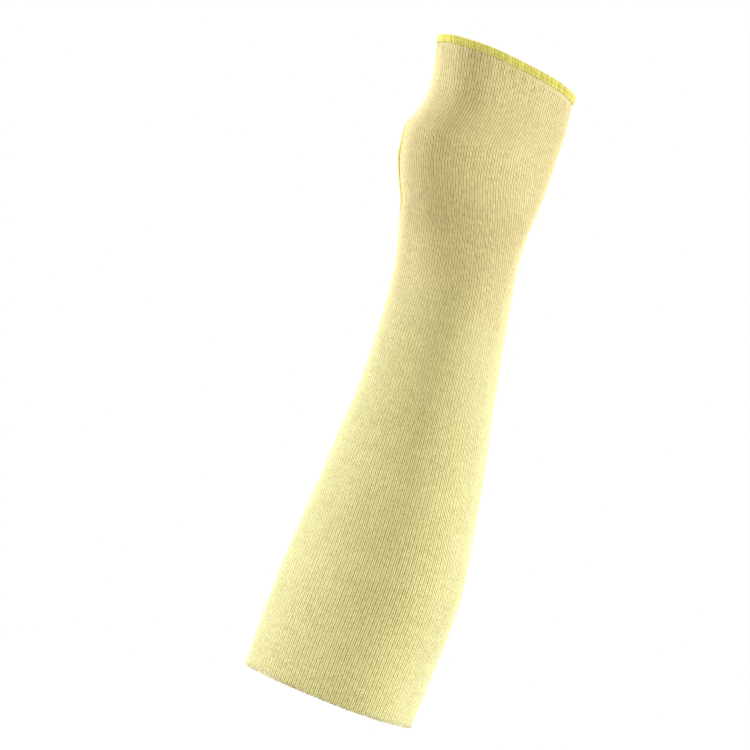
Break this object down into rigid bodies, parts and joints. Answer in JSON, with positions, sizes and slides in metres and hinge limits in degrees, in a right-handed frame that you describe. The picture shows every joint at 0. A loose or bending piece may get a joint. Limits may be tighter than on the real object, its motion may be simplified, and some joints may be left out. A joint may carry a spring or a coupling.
{
  "type": "cut resistant sleeve",
  "caption": "Seamless knitted arm sleeve in worn form, tapered from forearm to wrist, with an oval thumb hole and overlocked edges.",
  "frame": {"origin": "middle of the arm opening, where the sleeve sits on the forearm", "axes": "+Z along the arm towards the hand opening, X across the breadth of the forearm with the thumb hole on the -X side, Y through its thickness"},
  "size_m": [0.1046, 0.0818, 0.3679],
  "materials": {
    "knit": "matte plain knit of pale yellow aramid yarn",
    "overlock_thread": "close yellow-green thread wraps with a soft sheen"
  },
  "bodies": {
    "root": {"knit_tube": "knit", "hand_end_overlock": "overlock_thread", "thumb_hole_overlock": "overlock_thread"}
  },
  "joints": []
}
